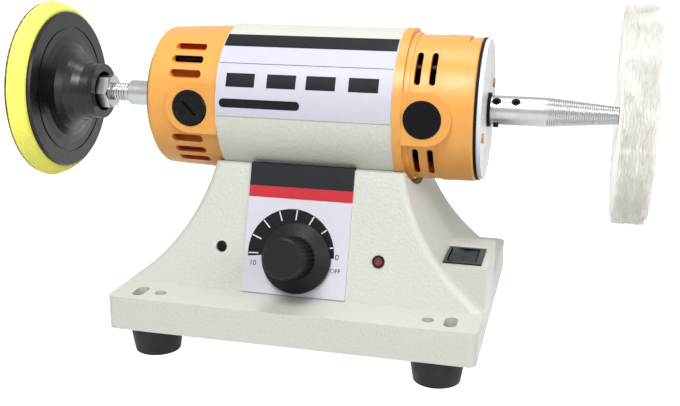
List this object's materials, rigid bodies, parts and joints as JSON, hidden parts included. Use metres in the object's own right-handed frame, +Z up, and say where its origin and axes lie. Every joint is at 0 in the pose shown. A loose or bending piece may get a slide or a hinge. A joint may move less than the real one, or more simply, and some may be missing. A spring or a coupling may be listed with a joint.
{
  "type": "bench polishing lathe",
  "caption": "Bench polishing lathe: cast base, motor in end caps, foam pad on a threaded stud, cotton buff on a tapered spindle, speed knob and rocker switch.",
  "frame": {"origin": "under the middle of the whole object, on the bench", "axes": "+X along the shaft towards the buff, -Y towards the user, +Z up"},
  "size_m": [0.3332, 0.154, 0.1813],
  "materials": {
    "casting_paint": "fine textured greige paint",
    "barrel_paint": "smooth cream paint",
    "cap_plastic": "moulded orange plastic",
    "black_plastic": "moulded black plastic",
    "gloss_black": "glossy black plastic",
    "rubber": "black moulded rubber",
    "zinc_steel": "zinc-plated turned steel",
    "black_steel": "black-oxide steel",
    "lamination": "stacked electrical steel",
    "galvanised_sheet": "galvanised sheet",
    "brass": "plain brass",
    "copper": "enamelled copper",
    "carbon": "pressed carbon",
    "film": "silver-grey printed film, bare of text",
    "dial_enamel": "white enamel with red and charcoal bands",
    "white_plastic": "white moulded plastic",
    "red_lens": "clear red plastic",
    "foam": "yellow foam",
    "hook_fabric": "hook-and-loop fabric",
    "cotton": "stitched cotton plies",
    "board": "glass-fibre circuit board",
    "board_parts": "moulded electronic parts"
  },
  "bodies": {
    "housing": {"base_casting": "casting_paint", "bottom_cover": "galvanised_sheet", "cover_screws": "zinc_steel", "foot_front_left": "rubber", "foot_front_right": "rubber", "foot_rear_left": "rubber", "foot_rear_right": "rubber", "foot_screws": "zinc_steel", "motor_barrel": "barrel_paint", "rating_plate": "film", "left_end_cap": "cap_plastic", "right_end_cap": "cap_plastic", "left_end_plate": "black_plastic", "right_end_ring": "black_plastic", "right_end_disc": "white_plastic", "spindle_bush": "black_plastic", "disc_screws": "brass", "brush_caps": "gloss_black", "side_plugs": "black_plastic", "brush_holders": "brass", "stator_core": "lamination", "field_coils": "copper", "through_bolts": "black_steel", "motor_bolts": "zinc_steel", "bearing_outer_rings": "zinc_steel", "dial_plate": "dial_enamel", "potentiometer": "galvanised_sheet", "indicator_lamp": "black_plastic", "indicator_lens": "red_lens", "front_screw": "black_steel", "switch_housing": "gloss_black", "switch_terminals": "brass", "control_board": "board", "board_posts": "white_plastic", "board_parts": "board_parts", "cord_gland": "black_plastic", "brush_spring_front": "zinc_steel", "brush_spring_rear": "zinc_steel"},
    "rotor": {"armature_shaft": "zinc_steel", "armature_core": "lamination", "winding_heads": "copper", "commutator": "copper", "cooling_fan": "black_plastic", "bearing_inner_rings": "zinc_steel", "shaft_sleeve": "zinc_steel", "threaded_stud": "zinc_steel", "hex_nut": "zinc_steel", "pad_insert": "zinc_steel", "pad_backing": "black_plastic", "foam_disc": "foam", "hook_layer": "hook_fabric", "taper_spindle": "zinc_steel", "shaft_end_screws": "black_steel", "cotton_buff": "cotton"},
    "knob": {"speed_knob": "black_plastic", "pot_stem": "zinc_steel"},
    "rocker": {"switch_rocker": "gloss_black"},
    "brush_front": {"carbon_brush_front": "carbon"},
    "brush_rear": {"carbon_brush_rear": "carbon"}
  },
  "joints": [
    {"name": "rotor_spin", "type": "hinge", "parent": "housing", "child": "rotor", "pos_m": [0, 0, 0.126], "axis": [1, 0, 0], "continuous": true},
    {"name": "knob_turn", "type": "hinge", "parent": "housing", "child": "knob", "pos_m": [-0.0051, -0.04629, 0.0515], "axis": [0, -0.9549, 0.2969], "range_deg": [0, 216]},
    {"name": "rocker_tilt", "type": "hinge", "parent": "housing", "child": "rocker", "pos_m": [0.0785, -0.0248, 0.0514], "axis": [0, 1, 0], "range_deg": [-8, 0]},
    {"name": "brush_front_slide", "type": "slide", "parent": "housing", "child": "brush_front", "axis": [0, -1, 0], "range_m": [0, 0.004], "stiffness_N_per_m": 250, "springref_m": -0.008, "deforming": ["brush_spring_front"]},
    {"name": "brush_rear_slide", "type": "slide", "parent": "housing", "child": "brush_rear", "axis": [0, 1, 0], "range_m": [0, 0.004], "stiffness_N_per_m": 250, "springref_m": -0.008, "deforming": ["brush_spring_rear"]}
  ]
}
